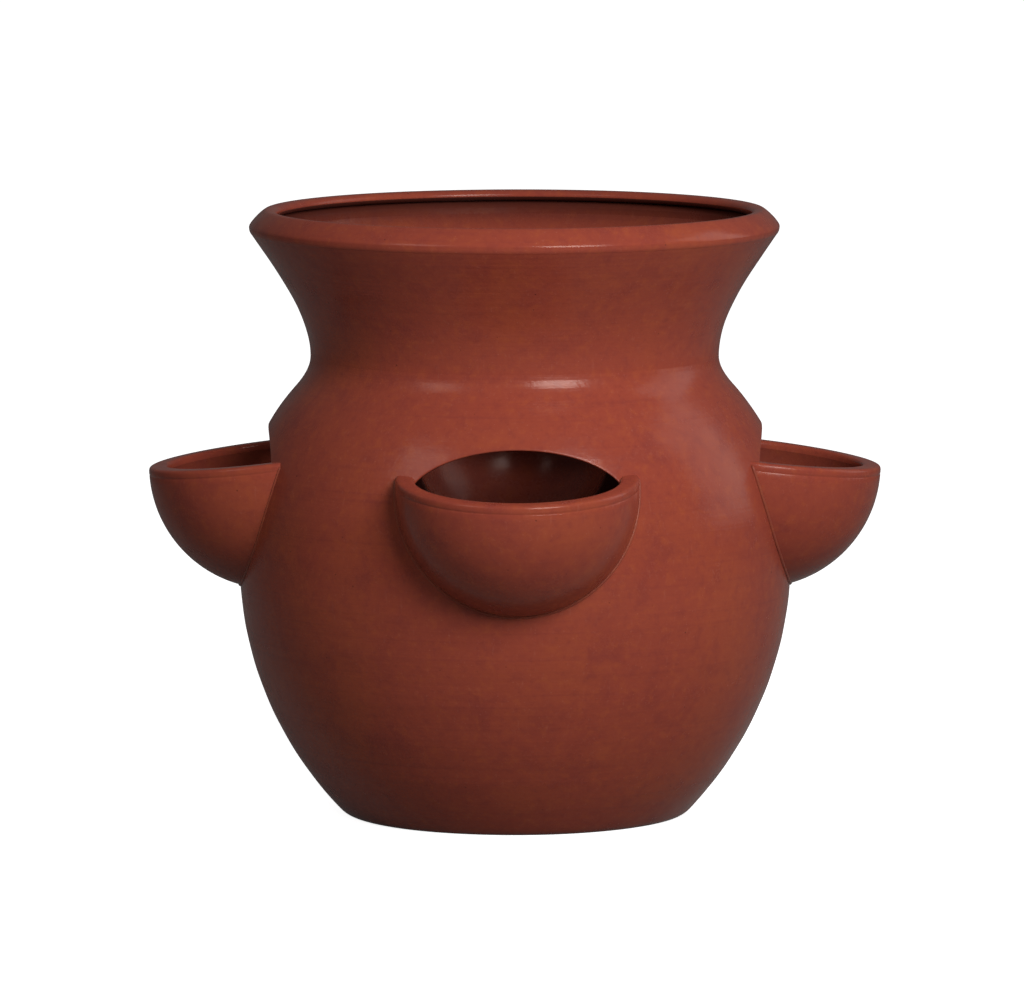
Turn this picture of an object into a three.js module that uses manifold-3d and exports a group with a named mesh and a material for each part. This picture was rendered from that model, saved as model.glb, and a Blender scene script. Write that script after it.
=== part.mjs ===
// Strawberry jar planter in fired clay: a round belly on a flat slab, a pinched waist, a flared neck
// with a rolled rim, and four half-round planting pockets luted over mouths cut in the shoulder.
// Millimetres, +Z up. The origin is the middle of the underside, and the front pocket faces -Y.

import * as THREE from 'three';
import * as BufferGeometryUtils from 'three/addons/utils/BufferGeometryUtils.js';
import Module from 'manifold-3d';

const wasm = await Module();
wasm.setup();

// ---- jar wall: outer face from the ground up ----
const FOOT_RADIUS = 84; // where the belly's curve would reach the ground
const FOOT_ROUND = 3; // rounding under the foot
const BELLY_RADIUS = 135.5; // widest ring
const BELLY_RISE = 125; // ground to the widest ring
const JOIN_DROP = 13; // widest ring down to the join of belly wall and shoulder wall
const SHOULDER_RADIUS = 107.5; // ring where the shoulder leans in most
const SHOULDER_RISE = 85.5; // widest ring to that ring
const SHOULDER_LEAN = -0.89; // change of radius per millimetre of height there
const WAIST_RADIUS = 100; // narrowest ring
const WAIST_RISE = 15; // shoulder ring to the waist
const NECK_RADIUS = 128.6; // top of the flared collar
const NECK_RISE = 60.3; // waist to the top of the collar
const NECK_LEAN = 0.68; // change of radius per millimetre of height there
const WALL = 9; // clay thickness, square to the outer face

// ---- floor slab ----
const FLOOR_THICKNESS = 11;
const DRAIN_RADIUS = 12.5;

// ---- rolled rim ----
const RIM_RISE = 11.8; // top of the collar to the crest
const RIM_OVERHANG = 1.1; // roll past the collar's outer edge
const RIM_ROUND = 3.4; // height of the rim's widest ring above the collar
const RIM_SLOPE = 8.3; // widest ring to the crest, inwards
const RIM_LIP = 5.4; // crest to the inner edge, inwards
const RIM_LIP_DROP = 4.3; // crest to the inner edge, downwards
const RIM_FULLNESS = 0.2; // share of the way from ring to crest on which the curve stays full
const GROOVE_DEPTH = 4.5; // inner edge to the bottom of the groove under it, outwards
const GROOVE_DROP = 2.3; // inner edge to the bottom of the groove, downwards
const GROOVE_HEEL = 0.6; // share of the way from the collar up to the groove that is plain bore

// ---- planting pockets ----
const POCKET_RADIUS = 60.5; // outer radius of the pressed bowl
const POCKET_HALF_WIDTH = 58.5; // the bowl is drawn in a little sideways
const POCKET_WALL = 9.5;
const POCKET_SET_IN = 8.5; // bowl's centre behind the jar's outer face
const POCKET_LIP_RISE = 7; // bowl's centre to the lip
const POCKET_TILT = THREE.MathUtils.degToRad(6.8); // lip falls away from the jar
const LIP_ROUND = 3.5; // rounding of the lip's edges
const POCKETS = ['front', 'right', 'back', 'left'];

// ---- mouths in the shoulder, one behind each pocket ----
const MOUTH_BELOW_WAIST = 34.4; // clay left between a mouth's arch and the waist
const MOUTH_RISE = 16.3; // corners to the top of the arch
const ARCH_DEPTH = 11.6; // corners to the centre of the arch's ellipse, downwards

// ---- luting and fit ----
const LUTING = 2; // width of the slip bead along each seam
const GAP = 0.3; // clearance between pieces cut to each other

// ---- fineness of the facets ----
const WALL_SEGMENTS = 48; // round the jar
const POCKET_SEGMENTS = 32; // round a bowl
const FOOT_ROWS = 3; // floor to the belly ring
const BELLY_ROWS = 3; // up the belly ring
const JOIN_ROWS = 1; // belly ring to the widest ring
const SHOULDER_ROWS = 12; // widest ring to waist
const NECK_ROWS = 6; // waist to rim
const BOWL_ROWS = 6; // pole to lip
const CURVE_STEPS = 3; // along one rounded edge
const ARCH_STEPS = 8; // along a mouth's arch

// ---- heights and radii that follow ----
const bellyZ = BELLY_RISE;
const joinZ = bellyZ - JOIN_DROP;
const footJoinZ = (FLOOR_THICKNESS + joinZ) / 2; // foot wall and belly wall are equally tall
const shoulderZ = bellyZ + SHOULDER_RISE;
const waistZ = shoulderZ + WAIST_RISE;
const neckZ = waistZ + NECK_RISE;
const crestZ = neckZ + RIM_RISE;
const footRound = Math.min(FOOT_ROUND, FLOOR_THICKNESS / 2);
const lipRound = Math.min(LIP_ROUND, POCKET_WALL / 2);

const mouthTopZ = waistZ - MOUTH_BELOW_WAIST;
const mouthCornerZ = mouthTopZ - MOUTH_RISE;
const lipZ = mouthCornerZ + lipRound;
const pocketZ = lipZ - POCKET_LIP_RISE;
const pocketSqueeze = POCKET_HALF_WIDTH / POCKET_RADIUS;
const roomRadius = POCKET_RADIUS - POCKET_WALL;
const roomRise = POCKET_LIP_RISE - lipRound; // bowl's centre to where its lip starts to round

// ---- outer face of the jar ----

// The belly up to the widest ring is one circular arc, upright where it is widest.
const bellyInset = BELLY_RADIUS - FOOT_RADIUS;
const bellyArc = (bellyInset ** 2 + BELLY_RISE ** 2) / (2 * bellyInset);

// Above it the face is a smooth curve through rings of known radius and lean.
const RINGS = [
  { z: bellyZ, radius: BELLY_RADIUS, lean: 0 },
  { z: shoulderZ, radius: SHOULDER_RADIUS, lean: SHOULDER_LEAN },
  { z: waistZ, radius: WAIST_RADIUS, lean: 0 },
  { z: neckZ, radius: NECK_RADIUS, lean: NECK_LEAN },
];

/** Outer radius and lean (change of radius per unit of height) of the jar at height z. */
function faceAt(z) {
  if (z <= bellyZ) {
    const below = bellyZ - z;
    const reach = Math.sqrt(bellyArc ** 2 - below ** 2);
    return { radius: BELLY_RADIUS - bellyArc + reach, lean: below / reach };
  }
  const upper = RINGS.find((ring) => z <= ring.z) ?? RINGS.at(-1);
  const lower = RINGS[RINGS.indexOf(upper) - 1];
  const span = upper.z - lower.z;
  const t = (z - lower.z) / span;
  const radius =
    (2 * t ** 3 - 3 * t ** 2 + 1) * lower.radius +
    (t ** 3 - 2 * t ** 2 + t) * span * lower.lean +
    (3 * t ** 2 - 2 * t ** 3) * upper.radius +
    (t ** 3 - t ** 2) * span * upper.lean;
  const lean =
    ((6 * t ** 2 - 6 * t) * (lower.radius - upper.radius)) / span +
    (3 * t ** 2 - 4 * t + 1) * lower.lean +
    (3 * t ** 2 - 2 * t) * upper.lean;
  return { radius, lean };
}

/** Radius at height z of the surface that lies `depth` behind the outer face (negative: in front). */
function radiusAt(z, depth = 0) {
  const { radius, lean } = faceAt(z);
  return radius - depth * Math.hypot(1, lean);
}

/** Profile points of that surface from height `from` to height `to`, in equal steps. */
function faceRows(from, to, rows, depth = 0) {
  const points = [];
  for (let row = 0; row <= rows; row += 1) {
    const z = THREE.MathUtils.lerp(from, to, row / rows);
    points.push(new THREE.Vector2(radiusAt(z, depth), z));
  }
  return points;
}

/** Profile of the foot wall, which stands on the slab, from the bottom up. */
function footRows(depth = 0) {
  return faceRows(FLOOR_THICKNESS, footJoinZ, FOOT_ROWS, depth);
}

/** Profile of the belly wall between the foot wall and the shoulder wall, from the bottom up. */
function bellyRows(depth = 0) {
  return faceRows(footJoinZ, joinZ, BELLY_ROWS, depth);
}

/** Profile of the shoulder wall between the belly wall and the waist, from the bottom up. */
function shoulderRows(depth = 0) {
  const lower = faceRows(joinZ, bellyZ, JOIN_ROWS, depth);
  const upper = faceRows(bellyZ, waistZ, SHOULDER_ROWS, depth);
  return [...lower, ...upper.slice(1)];
}

// ---- solids ----

/** Turned solid about +Z from profile points (radius, height), outer side first and upwards. */
function turned(points, segments) {
  return new THREE.LatheGeometry(points, segments).rotateX(Math.PI / 2);
}

/** Turned ring: the profile closes on itself. */
function turnedRing(points, segments) {
  return turned([...points, points[0]], segments);
}

/** Closed geometry as a solid that can be cut. */
function toSolid(geometry) {
  const bare = new THREE.BufferGeometry();
  bare.setAttribute('position', geometry.getAttribute('position'));
  bare.setIndex(geometry.getIndex());
  const welded = BufferGeometryUtils.mergeVertices(bare, GAP / 100);
  const corners = welded.getIndex().array;
  const triangles = [];
  for (let i = 0; i < corners.length; i += 3) {
    const [a, b, c] = corners.slice(i, i + 3);
    if (a !== b && b !== c && c !== a) {
      triangles.push(a, b, c);
    }
  }
  const vertProperties = new Float32Array(welded.getAttribute('position').array);
  const triVerts = new Uint32Array(triangles);
  return new wasm.Manifold(new wasm.Mesh({ numProp: 3, vertProperties, triVerts }));
}

/** Cut solid as a geometry again. */
function toGeometry(solid) {
  const mesh = solid.getMesh();
  const geometry = new THREE.BufferGeometry();
  geometry.setAttribute('position', new THREE.BufferAttribute(mesh.vertProperties, 3));
  geometry.setIndex(new THREE.BufferAttribute(mesh.triVerts, 1));
  geometry.computeVertexNormals();
  return geometry;
}

/** Everything inside the outer face between floor and waist, swelled by `growth`. */
function jarCore(growth) {
  const lower = [...footRows(-growth), ...bellyRows(-growth).slice(1)];
  const face = [...lower, ...shoulderRows(-growth).slice(1)];
  const bottom = new THREE.Vector2(0, face[0].y);
  const top = new THREE.Vector2(0, face.at(-1).y);
  return toSolid(turned([bottom, ...face, top], WALL_SEGMENTS));
}

// ---- jar pieces ----

/** Round slab with the drain hole; its edge carries on the belly's curve. */
function floorSlab() {
  const edge = new THREE.Path();
  edge.moveTo(FOOT_RADIUS - footRound, 0);
  edge.quadraticCurveTo(FOOT_RADIUS, 0, radiusAt(footRound), footRound);
  edge.lineTo(radiusAt(FLOOR_THICKNESS), FLOOR_THICKNESS);
  const underside = new THREE.Vector2(DRAIN_RADIUS, 0);
  const topside = new THREE.Vector2(DRAIN_RADIUS, FLOOR_THICKNESS);
  return turnedRing([underside, ...edge.getPoints(CURVE_STEPS), topside], WALL_SEGMENTS);
}

/** Ring of wall from a profile function, with the mouth behind each pocket cut out of it. */
function wallRing(profile) {
  const ring = turnedRing([...profile(), ...profile(WALL).reverse()], WALL_SEGMENTS);
  let wall = toSolid(ring);
  POCKETS.forEach((name, place) => {
    const room = toSolid(turnToPlace(bowlPlug(roomRadius, roomRise), place));
    const arch = toSolid(turnToPlace(mouthArch(), place));
    wall = wall.subtract(room.add(arch));
  });
  return toGeometry(wall);
}

/** Flared collar between the waist and the rim. */
function neckCollar() {
  const outer = faceRows(waistZ, neckZ, NECK_ROWS);
  const inner = faceRows(waistZ, neckZ, NECK_ROWS, WALL).reverse();
  return turnedRing([...outer, ...inner], WALL_SEGMENTS);
}

/** Rolled rim: bulges past the collar outside, slopes up to a crest and overhangs a groove inside. */
function rimCoil() {
  const widest = NECK_RADIUS + RIM_OVERHANG;
  const widestZ = neckZ + RIM_ROUND;
  const crest = widest - RIM_SLOPE;
  const edge = crest - RIM_LIP;
  const edgeZ = crestZ - RIM_LIP_DROP;
  const grooveZ = edgeZ - GROOVE_DROP;
  const bore = radiusAt(neckZ, WALL);
  const fullRise = (crestZ - widestZ) * RIM_FULLNESS;
  const fullSlope = RIM_SLOPE * RIM_FULLNESS;

  const roll = new THREE.Path();
  roll.moveTo(NECK_RADIUS, neckZ);
  roll.quadraticCurveTo(widest, neckZ + RIM_OVERHANG, widest, widestZ);
  roll.bezierCurveTo(widest, widestZ + fullRise, crest + fullSlope, crestZ, crest, crestZ);
  roll.quadraticCurveTo(edge, crestZ, edge, edgeZ);
  roll.quadraticCurveTo(edge, grooveZ, edge + GROOVE_DEPTH, grooveZ);
  roll.lineTo(bore, THREE.MathUtils.lerp(neckZ, grooveZ, GROOVE_HEEL));
  roll.lineTo(bore, neckZ);
  return turnedRing(roll.getPoints(CURVE_STEPS), WALL_SEGMENTS);
}

// ---- pockets, each worked out at the front and turned to its place ----

/** Moves a bowl from its own axis to the front of the jar, with its lip tilted outwards. */
function seatBowl(geometry) {
  const centre = radiusAt(lipZ) - POCKET_SET_IN;
  return geometry.scale(pocketSqueeze, 1, 1).rotateX(POCKET_TILT).translate(0, -centre, pocketZ);
}

/** Turns a front geometry to the numbered place round the jar. */
function turnToPlace(geometry, place) {
  return geometry.rotateZ((place * 2 * Math.PI) / POCKETS.length);
}

/** Arc from the bowl's pole up to `height` above its centre. */
function bowlArc(radius, height) {
  const arc = new THREE.Path();
  arc.absarc(0, 0, radius, -Math.PI / 2, Math.asin(height / radius), false);
  const points = arc.getPoints(BOWL_ROWS);
  points[0].x = 0;
  return points;
}

/** Solid ball of the bowl up to a flat lid at `height` above its centre. */
function bowlPlug(radius, height) {
  const lid = new THREE.Vector2(0, height);
  return seatBowl(turned([...bowlArc(radius, height), lid], POCKET_SEGMENTS));
}

/** Half-round bowl with a rounded lip, cut to the jar's outer face. */
function pocket() {
  const outer = bowlArc(POCKET_RADIUS, roomRise);
  const inner = bowlArc(roomRadius, roomRise).reverse();
  const outerEdge = outer.at(-1).x;
  const innerEdge = inner[0].x;
  const lip = new THREE.Path();
  lip.moveTo(outerEdge, roomRise);
  lip.quadraticCurveTo(outerEdge, POCKET_LIP_RISE, outerEdge - lipRound, POCKET_LIP_RISE);
  lip.lineTo(innerEdge + lipRound, POCKET_LIP_RISE);
  lip.quadraticCurveTo(innerEdge, POCKET_LIP_RISE, innerEdge, roomRise);
  const points = [...outer, ...lip.getPoints(CURVE_STEPS).slice(1, -1), ...inner];
  const bowl = toSolid(seatBowl(turned(points, POCKET_SEGMENTS)));
  return toGeometry(bowl.subtract(jarCore(GAP)));
}

/** Bead of slip in the corner between a bowl and the jar, up to the bowl's lip. */
function luting() {
  const outside = toSolid(bowlPlug(POCKET_RADIUS + GAP + LUTING, roomRise));
  const inside = toSolid(bowlPlug(POCKET_RADIUS + GAP, POCKET_LIP_RISE));
  return toGeometry(outside.subtract(inside).intersect(jarCore(GAP + LUTING)).subtract(jarCore(GAP)));
}

/** Prism of a mouth's arch, from inside the jar out through the wall. */
function mouthArch() {
  const halfWidth = Math.sqrt(roomRadius ** 2 - roomRise ** 2) * pocketSqueeze;
  const halfHeight = MOUTH_RISE + ARCH_DEPTH;
  const cornerAngle = Math.asin(ARCH_DEPTH / halfHeight);
  const halfSpan = halfWidth / Math.cos(cornerAngle);

  const outline = new THREE.Shape();
  outline.moveTo(-halfWidth, pocketZ);
  outline.lineTo(halfWidth, pocketZ);
  outline.lineTo(halfWidth, mouthCornerZ);
  const centreZ = mouthCornerZ - ARCH_DEPTH;
  outline.absellipse(0, centreZ, halfSpan, halfHeight, cornerAngle, Math.PI - cornerAngle, false);
  const prism = new THREE.ExtrudeGeometry(outline, {
    depth: BELLY_RADIUS,
    steps: 1,
    bevelEnabled: false,
    curveSegments: ARCH_STEPS,
  });
  return prism.rotateX(Math.PI / 2).translate(0, -WAIST_RADIUS / 2, 0);
}

// ---- fired clay ----

const CLAY = new THREE.Color(0x8c4132); // reddish brown, lightly burnished
const COLLAR_CLAY = new THREE.Color(0x84392b); // the collar fires a shade darker
const SLIP_CLAY = new THREE.Color(0x7a3527); // dried slip in the seams

/** Named piece with its own clay finish. */
function piece(name, geometry, colour, roughness) {
  const clay = new THREE.MeshStandardMaterial({ color: colour, roughness, metalness: 0 });
  const mesh = new THREE.Mesh(geometry, clay);
  mesh.name = name;
  return mesh;
}

// ---- assembly ----

const BURNISHED = 0.42;
const SMOOTHED = 0.5;
const ROUGH = 0.6;

const jar = new THREE.Group();
jar.name = 'strawberry_jar';
jar.add(piece('floor_slab', floorSlab(), CLAY, ROUGH));
jar.add(piece('foot_wall', wallRing(footRows), CLAY, BURNISHED));
jar.add(piece('belly_wall', wallRing(bellyRows), CLAY, BURNISHED));
jar.add(piece('shoulder_wall', wallRing(shoulderRows), CLAY, BURNISHED));
jar.add(piece('neck_collar', neckCollar(), COLLAR_CLAY, BURNISHED));
jar.add(piece('rim_coil', rimCoil(), CLAY, BURNISHED));
POCKETS.forEach((name, place) => {
  jar.add(piece(`pocket_${name}`, turnToPlace(pocket(), place), CLAY, SMOOTHED));
  jar.add(piece(`luting_${name}`, turnToPlace(luting(), place), SLIP_CLAY, ROUGH));
});

export default jar;
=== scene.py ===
"""Strawberry jar planter in burnished clay.

Each piece of the packed jar gets its thrown or pressed surface and its clay finish, and stands on a
pale floor under soft lamps. Metres, +Z up, the front pocket facing -Y.
"""

import math
from functools import partial
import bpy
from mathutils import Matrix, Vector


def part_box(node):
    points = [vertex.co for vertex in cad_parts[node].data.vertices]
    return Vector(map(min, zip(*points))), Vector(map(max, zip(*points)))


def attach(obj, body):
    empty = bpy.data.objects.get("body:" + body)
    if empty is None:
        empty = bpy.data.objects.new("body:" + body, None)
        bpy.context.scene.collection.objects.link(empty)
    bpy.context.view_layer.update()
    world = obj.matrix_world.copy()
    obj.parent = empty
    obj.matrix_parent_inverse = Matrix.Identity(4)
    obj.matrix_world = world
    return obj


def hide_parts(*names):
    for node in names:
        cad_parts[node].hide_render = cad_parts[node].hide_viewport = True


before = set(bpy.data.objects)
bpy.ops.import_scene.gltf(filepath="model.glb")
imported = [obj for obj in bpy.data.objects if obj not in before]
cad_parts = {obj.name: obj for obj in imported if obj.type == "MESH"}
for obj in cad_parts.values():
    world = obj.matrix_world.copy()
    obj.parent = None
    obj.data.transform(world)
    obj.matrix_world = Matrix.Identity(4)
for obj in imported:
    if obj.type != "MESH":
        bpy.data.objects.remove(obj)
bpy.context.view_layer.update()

from types import SimpleNamespace

import bmesh
import bpy
import numpy as np
from bpy.props import FloatProperty, FloatVectorProperty, PointerProperty
from bpy.types import Operator, Panel, PropertyGroup
from mathutils import Matrix, Vector

bl_info = {
    "name": "Strawberry Jar Planter",
    "version": (1, 0, 0),
    "blender": (4, 5, 0),
    "location": "3D View > Sidebar > Clay Jar",
    "description": "Builds a burnished clay strawberry jar with four planting pockets",
    "category": "Add Mesh",
}

BODY = "root"
PLACES = ("front", "right", "back", "left")  # place k is turned by k quarter turns
FINISHES = {"jar_clay": "burnished_clay", "pocket_clay": "pressed_clay", "slip": "dried_slip"}

# Heights at which the walls are joined, as packed.
SLAB_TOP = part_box("floor_slab")[1].z
FOOT_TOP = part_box("foot_wall")[1].z
BELLY_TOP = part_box("belly_wall")[1].z
WAIST_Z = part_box("neck_collar")[0].z
NECK_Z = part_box("rim_coil")[0].z
CREST_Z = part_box("rim_coil")[1].z

# Slow waves round the thrown wall: share, waves in one turn, drift per metre of height, start.
WAVES = ((0.45, 2, 14, 0.6), (0.35, 3, -31, 2.1), (0.20, 7, 23, 0.0))
FINGER_SHARE = 0.15  # share of the spiral that the fingers leave

# How the loops of a shoulder quarter lie.
LOOP_MIDDLE = 2.2  # top of the mouth's arch down to the loops' middle, in rises of the arch
CROWDING = 1.3  # power by which loops crowd towards the mouth
FADE_DROP = 0.008  # mouth's corners down to where its edge is still sharp
FADE_HEIGHT = 0.010  # from there up to the full rounding

# How far the slip bead is looked for and how it ends.
SEAM_PAST_LEVEL = 0.1  # angle above level at which the seam is first looked for
SEAM_REACH = 1.5  # farthest that the seam lies from the bowl's centre, in bowl radii
SEAM_LOOKS = 4  # points looked at for each step of the bead
BEAD_POINT = 4  # length of the bead's pointed ends, in bead radii

# Fineness of the meshes.
TURN_STEPS = 288  # round the jar
ROW_PITCH = 0.0016  # between rows up a wall
CURVE_STEPS = 12  # along one rounded edge
BOWL_STEPS = 56  # pole to lip
BOWL_COLUMNS = 104  # seam to seam
MOUTH_ROWS = 26  # mouth to the edge of its quarter
THROUGH_ROWS = 3  # through the wall, between the mouth's rounded edges
BEAD_STEPS = 150  # along a seam
BEAD_SIDES = 12
HALVINGS = 40  # of a search for an edge
WELD = 1e-6
CREASE_ANGLE = math.radians(38)

# Marks in the clay: features per metre, or features per metre along x, y and z.
CLOUDS = 17
PATCHES = 52
MOTTLE = 190
GRAIN = 560
DUST = 2300
WHEEL_LINES = (5.0, 5.0, 430.0)
FINGER_BANDS = (4.0, 4.0, 120.0)
RUBS = (620.0, 620.0, 110.0)
LIGHT_GRIT = (240, 0.09)  # specks per metre, and a speck's share of its cell
DARK_GRIT = (95, 0.045)

# Lamps: degrees round from the front towards +X, degrees up, width and height.
KEY_LAMP = (24, 29, 0.58, 0.62)
SIDE_LAMP = (101, 25, 0.82, 1.12)
FILL_LAMP = (-46, 37, 0.5, 0.5)
LAMP_DISTANCE = 1.5  # from the jar's middle

# Floor and camera.
FLOOR_RADIUS = 40
FLOOR_STEPS = 64
SHADOW_REACH = 0.3  # from the jar's axis, where the floor's glow starts to rise
LAMP_REACH = 1.5  # where the lamps no longer light the floor and its glow is full
SENSOR_WIDTH = 36  # millimetres
SIGHT = 100  # farthest that the camera sees


# ---- Settings ----


def size(name, description, default):
    """Length setting in metres."""
    return FloatProperty(
        name=name, description=description, default=default, unit="LENGTH", precision=5
    )


def share(name, description, default):
    """Factor setting from zero to one."""
    return FloatProperty(
        name=name, description=description, default=default, min=0.0, max=1.0, precision=3
    )


def colour(name, description, default):
    """Colour setting in linear RGB."""
    return FloatVectorProperty(
        name=name, description=description, default=default, subtype="COLOR", min=0.0, max=1.0
    )


def bearing(name, description, degrees):
    """Angle setting, given in degrees."""
    return FloatProperty(
        name=name, description=description, default=math.radians(degrees), subtype="ANGLE"
    )


def slope(name, default):
    """Slope setting of the jar's outer face."""
    return FloatProperty(
        name=name, description="Change of radius per metre of height there", default=default
    )


def watts(name, description, default):
    """Power setting of a lamp."""
    return FloatProperty(name=name, description=description, default=default, unit="POWER")


class JarSizes(PropertyGroup):
    """Sizes of the thrown jar."""

    foot_radius: size("Foot radius", "Where the belly's curve would reach the ground", 0.084)
    foot_round: size("Foot round", "Rounding under the foot", 0.003)
    belly_radius: size("Belly radius", "Widest ring of the jar", 0.1355)
    belly_rise: size("Belly rise", "Ground to the widest ring", 0.125)
    shoulder_radius: size("Shoulder radius", "Ring where the shoulder leans in most", 0.1075)
    shoulder_lean: slope("Shoulder lean", -0.89)
    waist_radius: size("Waist radius", "Narrowest ring of the jar", 0.1)
    waist_rise: size("Waist rise", "Shoulder ring to the waist", 0.015)
    neck_radius: size("Neck radius", "Top of the flared collar", 0.1286)
    neck_lean: slope("Neck lean", 0.68)
    wall: size("Wall", "Thickness of the clay", 0.009)
    drain_radius: size("Drain radius", "Hole in the floor", 0.0125)
    drain_round: size("Drain round", "Rounding of the drain hole's edges", 0.002)
    rim_overhang: size("Rim overhang", "Roll past the collar's outer edge", 0.0011)
    rim_round: size("Rim round", "Height of the rim's widest ring above the collar", 0.0034)
    rim_slope: size("Rim slope", "Widest ring to the crest, inwards", 0.0083)
    rim_lip: size("Rim lip", "Crest to the inner edge, inwards", 0.0054)
    rim_drop: size("Rim drop", "Crest to the inner edge, downwards", 0.003)
    rim_fullness: share("Rim fullness", "Share of the slope on which the roll stays full", 0.2)
    groove_depth: size("Groove depth", "Inner edge to the bottom of the groove under it, outwards", 0.0045)
    groove_drop: size("Groove drop", "Inner edge to the bottom of the groove, downwards", 0.0025)
    groove_heel: share("Groove heel", "Share of the way up to the groove that is plain bore", 0.49)
    # the dark band under the rim is painted shade under the overhanging roll, fading down the bore
    painted_shade_drop: size("Stain drop", "How far the dark stain runs down the bore from the groove", 0.016)
    unevenness: size("Unevenness", "How far the thrown wall strays from a true circle", 0.0003)
    finger_pitch: size("Finger pitch", "Height between turns of the spiral left by the fingers", 0.021)


class PocketSizes(PropertyGroup):
    """Sizes of the pressed bowls and of the mouths behind them."""

    radius: size("Radius", "Outer radius of the bowl", 0.0605)
    half_width: size("Half width", "Half the bowl's width, which is drawn in a little", 0.0585)
    wall: size("Wall", "Thickness of the bowl", 0.0095)
    set_in: size("Set in", "Bowl's centre behind the jar's outer face", 0.0085)
    lip_rise: size("Lip rise", "Bowl's centre to the lip", 0.007)
    lip_round: size("Lip round", "Rounding of the lip's edges", 0.0035)
    lip_fullness: share("Lip fullness", "Share of the rounding on which the lip stays full", 0.86)
    line_width: size("Line width", "Tooled line under the lip", 0.0011)
    line_depth: size("Line depth", "Depth of the tooled line", 0.00012)
    tilt: bearing("Tilt", "Slope of the lip away from the jar", 6.8)
    # the hollow's rawness also sets how much painted shade darkens it
    rawness_and_shade: share("Rawness", "How raw the bowl's hollow looks", 0.35)
    root: size("Root", "How far the bowl runs into the jar's wall", 0.003)
    bead: size("Bead", "Radius of the slip bead along the seam", 0.0008)
    mouth_below_waist: size("Below waist", "Clay between the mouth's arch and the waist", 0.0344)
    mouth_rise: size("Mouth rise", "Corners of the mouth to the top of its arch", 0.0163)
    arch_depth: size("Arch depth", "Corners down to the centre of the arch's ellipse", 0.0116)
    mouth_edge: size("Mouth edge", "Rounding of the mouth's outer edge", 0.0012)
    mouth_back_edge: size("Back edge", "Rounding of the mouth's inner edge", 0.0015)
    clearance: size("Clearance", "Mouth's lower edge outside the bowl's hollow", 0.0003)


class ClayLook(PropertyGroup):
    """Colours and polish of the fired clay."""

    clay: colour("Clay", "Main colour of the burnished clay", (0.262, 0.049, 0.029))
    warm: colour("Warm", "Orange patches where the fire was clear", (0.318, 0.068, 0.028))
    plum: colour("Plum", "Purple-brown patches where the fire smoked", (0.200, 0.036, 0.028))
    pale: colour("Pale", "Light grit and dust", (0.420, 0.150, 0.100))
    # soot is the colour of the dark grit and also the painted shade of the jar's inside, the bowls'
    # hollows and the groove under the rim
    soot_and_shade: colour("Soot", "Dark grit and the dark inside", (0.030, 0.008, 0.006))
    sheen: colour("Sheen", "Tint of the burnished face's reflections", (1.0, 0.78, 0.70))
    slip: colour("Slip", "Dried slip in the seams", (0.235, 0.053, 0.031))
    polish: share("Polish", "Roughness of the burnished face", 0.2)
    raw: share("Raw", "Roughness of the inside, which is only wiped", 0.34)
    # strength of the painted shade that darkens the inside towards soot
    inside_shade: share("Damp", "How much darker the inside is", 0.93)
    gloss: share("Gloss", "Strength of the burnished face's reflections", 0.19)
    slip_polish: share("Slip polish", "Roughness of the dried slip", 0.3)
    pressed_lines: share("Pressed lines", "Strength of level lines on the pressed bowls", 0.45)
    slip_lines: share("Slip lines", "Strength of level lines on the slip", 0.2)


class Studio(PropertyGroup):
    """Lamps, floor and camera."""

    key_power: watts("Key power", "Soft lamp at the front right", 20.2)
    side_power: watts("Side power", "Soft lamp at the right", 3.8)
    fill_power: watts("Fill power", "Weak lamp at the left", 2.5)
    sky: share("Sky", "Brightness of the room", 0.1)
    backdrop: colour("Backdrop", "Floor and room as the camera sees them", (1.0, 1.0, 1.0))
    near_glow: share("Near glow", "Brightness that the floor keeps in the jar's shadow", 0.9)
    mirrored: share("Mirrored", "Share of the white floor that the burnished clay mirrors", 0.05)
    table: colour("Table", "Floor as the jar's clay sees it", (0.24, 0.23, 0.22))
    camera_place: FloatVectorProperty(
        name="Camera place",
        description="Camera's place in front of the jar",
        default=(-0.03969, -4.37982, 0.647),
        subtype="TRANSLATION",
        unit="LENGTH",
    )
    camera_turn: bearing("Camera turn", "Turn of the camera about the vertical", -0.5)
    camera_drop: bearing("Camera drop", "Downward pitch of the camera", 6.434)
    camera_roll: bearing("Camera roll", "Roll of the camera", -0.081)
    lens: FloatProperty(name="Lens", description="Focal length", default=315.55, unit="CAMERA")


# ---- The jar's thrown surface ----


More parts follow.
